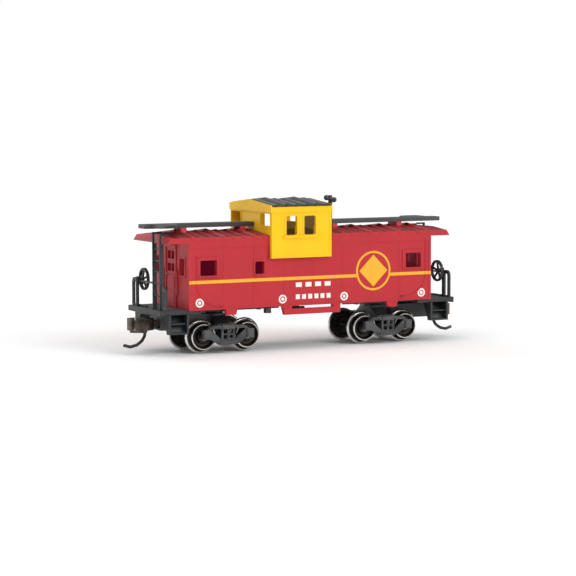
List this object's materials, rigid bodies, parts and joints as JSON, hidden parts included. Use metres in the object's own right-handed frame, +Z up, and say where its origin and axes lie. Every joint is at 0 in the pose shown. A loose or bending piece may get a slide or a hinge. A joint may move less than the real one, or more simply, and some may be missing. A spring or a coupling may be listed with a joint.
{
  "type": "model railway caboose",
  "caption": "Small-scale railway caboose with a wide cupola, end platforms, swivelling trucks, turning wheelsets and sprung knuckle couplers.",
  "frame": {"origin": "middle of the car's footprint, on the plane that the wheel flanges rest on", "axes": "+X along the car towards end b, +Y to the left when facing +X, +Z up"},
  "size_m": [0.0758, 0.0196, 0.031],
  "materials": {
    "shell_red": "satin painted plastic",
    "cupola_yellow": "satin painted plastic",
    "roof_black": "matt moulded plastic",
    "walk_grey": "matt moulded plastic",
    "platform_grey": "satin moulded plastic",
    "frame_black": "satin moulded plastic",
    "truck_black": "satin moulded plastic",
    "wheel_metal": "blackened metal, bright on the tread and flange",
    "axle_steel": "turned steel",
    "coupler_metal": "dark brown blackened casting",
    "trip_steel": "blackened wire",
    "spring_steel": "drawn wire",
    "weight_steel": "sheared sheet steel"
  },
  "bodies": {
    "root": {"body_shell": "shell_red", "cupola_shell": "cupola_yellow", "cupola_roof": "roof_black", "smoke_jack": "roof_black", "underframe": "frame_black", "weight": "weight_steel", "roofwalk_a": "walk_grey", "end_platform_a": "platform_grey", "steps_right_a": "platform_grey", "steps_left_a": "platform_grey", "end_railing_a": "platform_grey", "gate_post_a": "platform_grey", "ladder_a": "platform_grey", "brake_staff_a": "platform_grey", "brake_wheel_a": "platform_grey", "kingpin_a": "truck_black", "roofwalk_b": "walk_grey", "end_platform_b": "platform_grey", "steps_right_b": "platform_grey", "steps_left_b": "platform_grey", "end_railing_b": "platform_grey", "gate_post_b": "platform_grey", "ladder_b": "platform_grey", "brake_staff_b": "platform_grey", "brake_wheel_b": "platform_grey", "kingpin_b": "truck_black"},
    "truck_a": {"truck_frame_a": "truck_black", "coupler_lid_a": "truck_black", "coupler_spring_a": "spring_steel"},
    "wheelset_inner_a": {"axle_inner_a": "axle_steel", "wheel_inner_right_a": "wheel_metal", "wheel_inner_left_a": "wheel_metal"},
    "wheelset_outer_a": {"axle_outer_a": "axle_steel", "wheel_outer_right_a": "wheel_metal", "wheel_outer_left_a": "wheel_metal"},
    "coupler_a": {"coupler_a": "coupler_metal", "knuckle_pin_a": "coupler_metal"},
    "knuckle_a": {"knuckle_a": "coupler_metal", "trip_pin_a": "trip_steel"},
    "truck_b": {"truck_frame_b": "truck_black", "coupler_lid_b": "truck_black", "coupler_spring_b": "spring_steel"},
    "wheelset_inner_b": {"axle_inner_b": "axle_steel", "wheel_inner_right_b": "wheel_metal", "wheel_inner_left_b": "wheel_metal"},
    "wheelset_outer_b": {"axle_outer_b": "axle_steel", "wheel_outer_right_b": "wheel_metal", "wheel_outer_left_b": "wheel_metal"},
    "coupler_b": {"coupler_b": "coupler_metal", "knuckle_pin_b": "coupler_metal"},
    "knuckle_b": {"knuckle_b": "coupler_metal", "trip_pin_b": "trip_steel"}
  },
  "joints": [
    {"name": "truck_a_swivel", "type": "hinge", "parent": "root", "child": "truck_a", "pos_m": [-0.01824, 0, 0.00805], "axis": [0, 0, 1], "range_deg": [-8, 8]},
    {"name": "wheelset_inner_a_spin", "type": "hinge", "parent": "truck_a", "child": "wheelset_inner_a", "pos_m": [-0.01344, 0, 0.00339], "axis": [0, 1, 0], "continuous": true},
    {"name": "wheelset_outer_a_spin", "type": "hinge", "parent": "truck_a", "child": "wheelset_outer_a", "pos_m": [-0.02304, 0, 0.00339], "axis": [0, 1, 0], "continuous": true},
    {"name": "coupler_a_swing", "type": "hinge", "parent": "truck_a", "child": "coupler_a", "pos_m": [-0.026, 0, 0.00592], "axis": [0, 0, 1], "range_deg": [-10, 10], "stiffness_Nm_per_rad": 0.0005},
    {"name": "knuckle_a_open", "type": "hinge", "parent": "coupler_a", "child": "knuckle_a", "pos_m": [-0.0339, 0.00115, 0.00587], "axis": [0, 0, -1], "range_deg": [0, 25], "stiffness_Nm_per_rad": 0.0003},
    {"name": "truck_b_swivel", "type": "hinge", "parent": "root", "child": "truck_b", "pos_m": [0.01824, 0, 0.00805], "axis": [0, 0, 1], "range_deg": [-8, 8]},
    {"name": "wheelset_inner_b_spin", "type": "hinge", "parent": "truck_b", "child": "wheelset_inner_b", "pos_m": [0.01344, 0, 0.00339], "axis": [0, 1, 0], "continuous": true},
    {"name": "wheelset_outer_b_spin", "type": "hinge", "parent": "truck_b", "child": "wheelset_outer_b", "pos_m": [0.02304, 0, 0.00339], "axis": [0, 1, 0], "continuous": true},
    {"name": "coupler_b_swing", "type": "hinge", "parent": "truck_b", "child": "coupler_b", "pos_m": [0.026, 0, 0.00592], "axis": [0, 0, 1], "range_deg": [-10, 10], "stiffness_Nm_per_rad": 0.0005},
    {"name": "knuckle_b_open", "type": "hinge", "parent": "coupler_b", "child": "knuckle_b", "pos_m": [0.0339, -0.00115, 0.00587], "axis": [0, 0, -1], "range_deg": [0, 25], "stiffness_Nm_per_rad": 0.0003}
  ]
}
